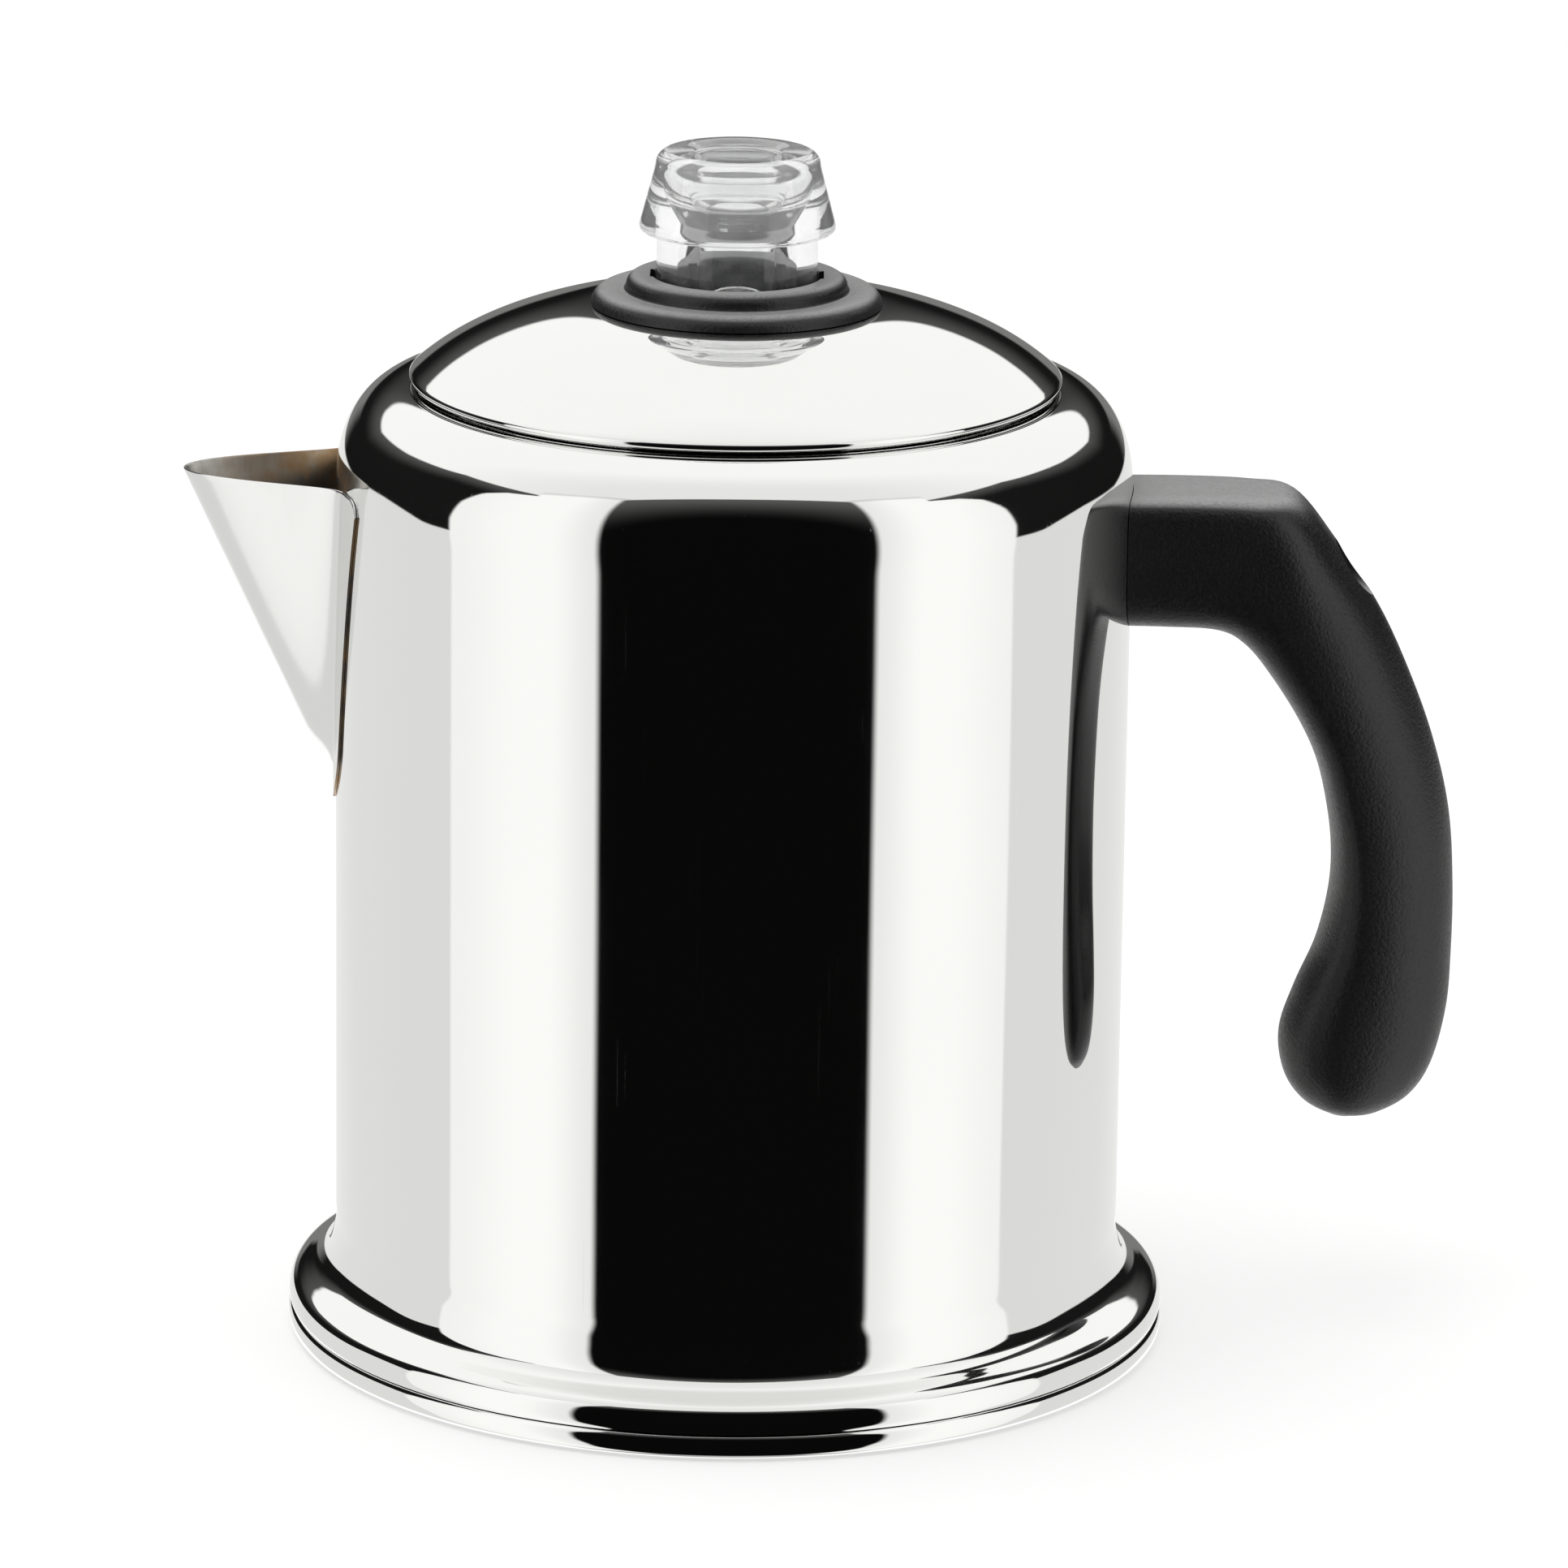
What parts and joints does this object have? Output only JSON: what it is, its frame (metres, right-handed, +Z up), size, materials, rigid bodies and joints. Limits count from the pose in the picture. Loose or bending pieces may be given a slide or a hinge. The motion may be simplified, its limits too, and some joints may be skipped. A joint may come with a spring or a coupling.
{
  "type": "coffee percolator",
  "caption": "Stovetop coffee percolator: polished steel pot with spout and black side handle, domed lift-off lid, clear twist-in knob, and an inner pump stem with perforated basket.",
  "frame": {"origin": "centre of the flat base, on the surface that the pot stands on", "axes": "+Z up, +X towards the handle, -X towards the spout, +Y to the left of the handle seen from behind it"},
  "size_m": [0.2288, 0.1594, 0.2166],
  "materials": {
    "steel_polished": "mirror-polished stainless steel with fine wiping scratches",
    "steel_satin": "satin drawn stainless steel",
    "black_phenolic": "black phenolic with a fine satin grain",
    "clear_plastic": "clear moulded plastic, gloss"
  },
  "bodies": {
    "pot": {"body_shell": "steel_polished", "base_pan": "steel_polished", "spout": "steel_polished", "handle_grip": "black_phenolic", "handle_bracket": "steel_satin", "handle_nut": "steel_satin", "lock_washer": "steel_satin", "handle_screw": "steel_satin"},
    "pump": {"stem_tube": "steel_satin", "basket_stop": "steel_satin", "stem_foot": "steel_satin", "valve_cage": "steel_satin"},
    "valve": {"pump_valve": "steel_satin"},
    "basket": {"basket_cup": "steel_satin", "basket_sleeve": "steel_satin"},
    "spreader": {"grounds_spreader": "steel_satin"},
    "lid": {"lid_shell": "steel_polished", "knob_collar": "black_phenolic", "collar_retainer": "steel_satin"},
    "knob": {"knob": "clear_plastic"}
  },
  "joints": [
    {"name": "pump_lift", "type": "slide", "parent": "pot", "child": "pump", "axis": [0, 0, 1], "range_m": [0, 0.19]},
    {"name": "valve_lift", "type": "slide", "parent": "pump", "child": "valve", "axis": [0, 0, 1], "range_m": [0, 0.0015]},
    {"name": "basket_lift", "type": "slide", "parent": "pump", "child": "basket", "axis": [0, 0, 1], "range_m": [0, 0.09]},
    {"name": "spreader_lift", "type": "slide", "parent": "basket", "child": "spreader", "axis": [0, 0, 1], "range_m": [0, 0.04]},
    {"name": "lid_lift", "type": "slide", "parent": "spreader", "child": "lid", "axis": [0, 0, 1], "range_m": [0, 0.06]},
    {"name": "knob_twist", "type": "hinge", "parent": "lid", "child": "knob", "pos_m": [0, 0, 0.2], "axis": [0, 0, 1], "range_deg": [0, 60]}
  ]
}
